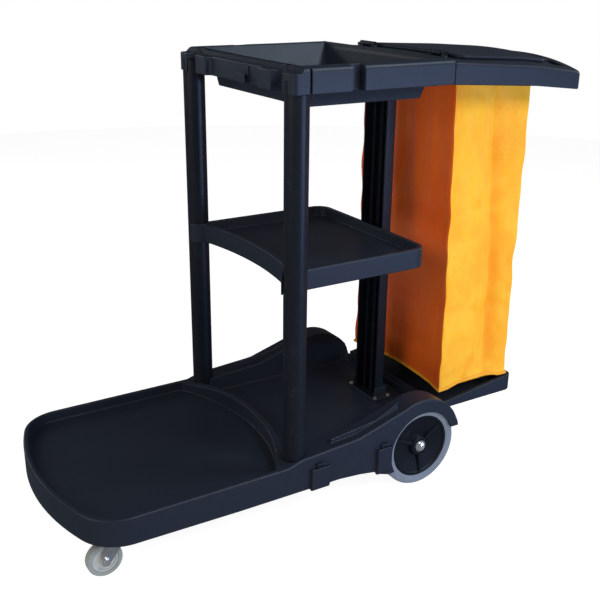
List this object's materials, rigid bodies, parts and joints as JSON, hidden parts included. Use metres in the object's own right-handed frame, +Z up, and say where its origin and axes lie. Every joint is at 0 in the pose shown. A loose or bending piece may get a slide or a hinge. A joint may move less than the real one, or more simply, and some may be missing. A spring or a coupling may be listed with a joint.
{
  "type": "housekeeping cart",
  "caption": "Wheeled black plastic cleaning cart with front deck, middle shelf, top tray with bin and a yellow bag under a hinged lid.",
  "frame": {"origin": "on the floor, under the middle of the cart's bounding box", "axes": "+X from the front deck towards the push handle, +Y left, +Z up"},
  "size_m": [1.298, 0.538, 0.9995],
  "materials": {
    "black_plastic": "satin moulded",
    "post_plastic": "satin extruded",
    "wheel_plastic": "satin moulded",
    "bag_vinyl": "coated woven cloth, semi-gloss",
    "grey_tyre": "matte",
    "caster_tyre": "matte",
    "caster_core": "satin",
    "nylon": "matte",
    "zinc_steel": "zinc plated",
    "polished_steel": "bright plated"
  },
  "bodies": {
    "cart": {"base_deck": "black_plastic", "front_post_left": "post_plastic", "front_post_right": "post_plastic", "post_screws": "zinc_steel", "rear_column": "post_plastic", "column_foot": "black_plastic", "foot_screws": "zinc_steel", "column_head": "black_plastic", "shelf": "black_plastic", "shelf_screws": "zinc_steel", "top_tray": "black_plastic", "tray_hook": "black_plastic", "bag_frame": "black_plastic", "hinge_pins": "zinc_steel", "bag": "bag_vinyl", "bag_hooks": "zinc_steel", "rear_platform": "black_plastic", "rear_axle": "zinc_steel", "axle_washers": "zinc_steel", "axle_caps": "polished_steel", "pocket_clips": "black_plastic", "caster_plate_left": "zinc_steel", "caster_plate_right": "zinc_steel", "caster_kingpin_left": "zinc_steel", "caster_kingpin_right": "zinc_steel", "caster_screws": "zinc_steel"},
    "lid": {"lid": "black_plastic"},
    "rear_wheel_left": {"rear_rim_left": "wheel_plastic", "rear_tyre_left": "grey_tyre", "rear_bush_left": "nylon"},
    "caster_fork_left": {"caster_fork_left": "zinc_steel", "caster_axle_left": "polished_steel"},
    "caster_wheel_left": {"caster_core_left": "caster_core", "caster_tyre_left": "caster_tyre"},
    "rear_wheel_right": {"rear_rim_right": "wheel_plastic", "rear_tyre_right": "grey_tyre", "rear_bush_right": "nylon"},
    "caster_fork_right": {"caster_fork_right": "zinc_steel", "caster_axle_right": "polished_steel"},
    "caster_wheel_right": {"caster_core_right": "caster_core", "caster_tyre_right": "caster_tyre"}
  },
  "joints": [
    {"name": "lid_hinge", "type": "hinge", "parent": "cart", "child": "lid", "pos_m": [0.276, 0, 0.994], "axis": [0, -1, 0], "range_deg": [0, 105]},
    {"name": "rear_wheel_left_spin", "type": "hinge", "parent": "cart", "child": "rear_wheel_left", "pos_m": [0.196, 0.233, 0.1], "axis": [0, 1, 0], "continuous": true},
    {"name": "caster_left_swivel", "type": "hinge", "parent": "cart", "child": "caster_fork_left", "pos_m": [-0.547, 0.197, 0.09], "axis": [0, 0, 1], "continuous": true},
    {"name": "caster_left_spin", "type": "hinge", "parent": "caster_fork_left", "child": "caster_wheel_left", "pos_m": [-0.572, 0.197, 0.0375], "axis": [0, 1, 0], "continuous": true},
    {"name": "rear_wheel_right_spin", "type": "hinge", "parent": "cart", "child": "rear_wheel_right", "pos_m": [0.196, -0.233, 0.1], "axis": [0, 1, 0], "continuous": true},
    {"name": "caster_right_swivel", "type": "hinge", "parent": "cart", "child": "caster_fork_right", "pos_m": [-0.547, -0.197, 0.09], "axis": [0, 0, 1], "continuous": true},
    {"name": "caster_right_spin", "type": "hinge", "parent": "caster_fork_right", "child": "caster_wheel_right", "pos_m": [-0.572, -0.197, 0.0375], "axis": [0, 1, 0], "continuous": true}
  ]
}
